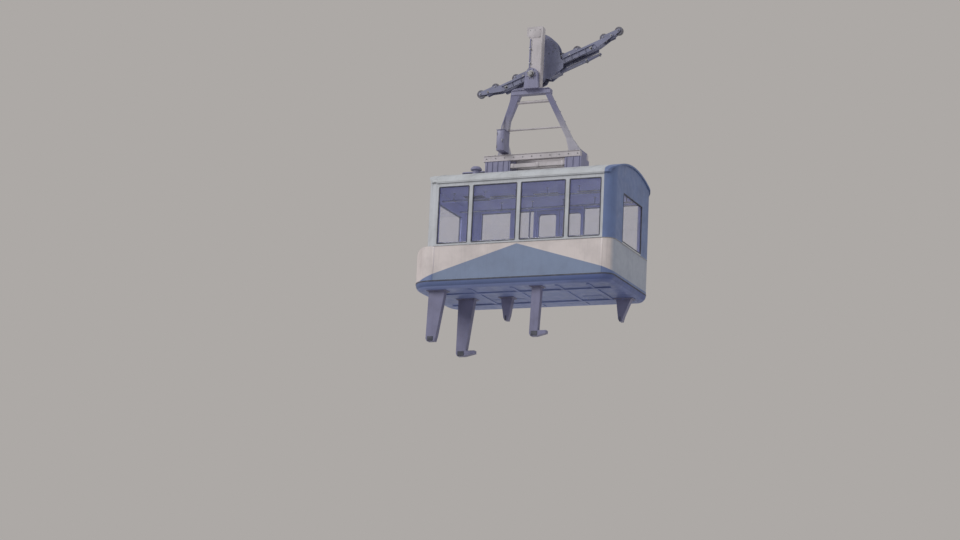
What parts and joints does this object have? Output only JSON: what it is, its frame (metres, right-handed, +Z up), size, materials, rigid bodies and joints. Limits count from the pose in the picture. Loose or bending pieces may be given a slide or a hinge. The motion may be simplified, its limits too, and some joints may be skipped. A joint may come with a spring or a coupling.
{
  "type": "aerial cable car cabin with hanger and carriage",
  "caption": "Aerial cable car: a barrel-roofed glazed cabin with bulged ends on an A-frame hanger, pivoted under an inclined wheeled carriage that runs on a track rope.",
  "frame": {"origin": "on the track rope's axis, over the middle of the cabin's window band", "axes": "+X along the cabin towards the uphill end, +Y across towards the door side, +Z up"},
  "size_m": [4.325, 2.323, 6.73],
  "materials": {
    "belt_paint": "gloss, weathered",
    "underside_paint": "satin, dirty",
    "frame_paint": "satin",
    "end_paint": "satin",
    "roof_paint": "satin, weathered",
    "lining": "matt",
    "floor_rubber": "ribbed",
    "hanger_paint": "satin",
    "hanger_dark": "satin",
    "carriage_paint": "satin, oily",
    "wheel_iron": "worn tread",
    "pin_steel": "turned",
    "rail_steel": "polished by hands",
    "window_glass": "clear, dusty",
    "door_paint": "gloss",
    "dock_paint": "satin, worn"
  },
  "bodies": {
    "carriage": {"carriage_plates": "carriage_paint", "brake_housing": "carriage_paint", "carriage_tie": "carriage_paint", "haul_sockets": "carriage_paint", "rockers": "carriage_paint", "bogies": "carriage_paint", "carriage_pins": "pin_steel", "pivot_pin": "pin_steel"},
    "cabin": {"under_pan": "underside_paint", "floor": "floor_rubber", "nose_lower": "belt_paint", "nose_upper": "belt_paint", "side_panel_near": "belt_paint", "side_panel_far": "belt_paint", "corner_posts": "end_paint", "mullions_near": "frame_paint", "mullions_far": "frame_paint", "end_pillars": "end_paint", "window_sills": "frame_paint", "window_headers": "frame_paint", "glass_near": "window_glass", "glass_far": "window_glass", "glass_ends": "window_glass", "roof_shell": "roof_paint", "end_headers": "end_paint", "ceiling": "lining", "hatch_coaming": "hanger_dark", "door_tracks": "frame_paint", "handrails": "rail_steel", "stanchions": "rail_steel", "roof_vent": "hanger_dark", "hanger_stringers": "hanger_paint", "hanger_saddles": "hanger_dark", "hanger_beams": "hanger_paint", "hanger_legs": "hanger_dark", "hanger_yoke": "hanger_dark", "hanger_braces": "hanger_paint", "hanger_head": "hanger_paint", "pivot_bearing": "hanger_dark", "control_box": "hanger_dark", "docking_legs": "dock_paint"},
    "door_lower": {"door_leaf_lower": "door_paint", "door_glass_lower": "window_glass"},
    "door_upper": {"door_leaf_upper": "door_paint", "door_glass_upper": "window_glass"},
    "roof_hatch": {"hatch_lid": "hanger_dark"},
    "track_wheel_1_body": {"track_wheel_1": "wheel_iron"},
    "track_wheel_2_body": {"track_wheel_2": "wheel_iron"},
    "track_wheel_3_body": {"track_wheel_3": "wheel_iron"},
    "track_wheel_4_body": {"track_wheel_4": "wheel_iron"},
    "track_wheel_5_body": {"track_wheel_5": "wheel_iron"},
    "track_wheel_6_body": {"track_wheel_6": "wheel_iron"},
    "track_wheel_7_body": {"track_wheel_7": "wheel_iron"},
    "track_wheel_8_body": {"track_wheel_8": "wheel_iron"}
  },
  "joints": [
    {"name": "cabin_swing", "type": "hinge", "parent": "carriage", "child": "cabin", "pos_m": [-0.085, 0, -0.255], "axis": [0, 1, 0], "range_deg": [-55.5, 14.5]},
    {"name": "door_lower_slide", "type": "slide", "parent": "cabin", "child": "door_lower", "axis": [-1, 0, 0], "range_m": [0, 0.5]},
    {"name": "door_upper_slide", "type": "slide", "parent": "cabin", "child": "door_upper", "axis": [1, 0, 0], "range_m": [0, 0.5]},
    {"name": "hatch_hinge", "type": "hinge", "parent": "cabin", "child": "roof_hatch", "pos_m": [-1.66, 0, -2.165], "axis": [0, -1, 0], "range_deg": [0, 100]},
    {"name": "wheel_1_spin", "type": "hinge", "parent": "carriage", "child": "track_wheel_1_body", "pos_m": [-1.39836, 0, -0.42888], "axis": [0, 1, 0], "continuous": true},
    {"name": "wheel_2_spin", "type": "hinge", "parent": "carriage", "child": "track_wheel_2_body", "pos_m": [-1.07989, 0, -0.3098], "axis": [0, 1, 0], "continuous": true},
    {"name": "wheel_3_spin", "type": "hinge", "parent": "carriage", "child": "track_wheel_3_body", "pos_m": [-0.63029, 0, -0.14171], "axis": [0, 1, 0], "continuous": true},
    {"name": "wheel_4_spin", "type": "hinge", "parent": "carriage", "child": "track_wheel_4_body", "pos_m": [-0.31182, 0, -0.02263], "axis": [0, 1, 0], "continuous": true},
    {"name": "wheel_5_spin", "type": "hinge", "parent": "carriage", "child": "track_wheel_5_body", "pos_m": [0.37195, 0, 0.23302], "axis": [0, 1, 0], "continuous": true},
    {"name": "wheel_6_spin", "type": "hinge", "parent": "carriage", "child": "track_wheel_6_body", "pos_m": [0.69042, 0, 0.35209], "axis": [0, 1, 0], "continuous": true},
    {"name": "wheel_7_spin", "type": "hinge", "parent": "carriage", "child": "track_wheel_7_body", "pos_m": [1.26179, 0, 0.56571], "axis": [0, 1, 0], "continuous": true},
    {"name": "wheel_8_spin", "type": "hinge", "parent": "carriage", "child": "track_wheel_8_body", "pos_m": [1.58026, 0, 0.68478], "axis": [0, 1, 0], "continuous": true}
  ],
  "couplings": [
    {"joint": "door_upper_slide", "follows": "door_lower_slide", "ratio": 1}
  ]
}
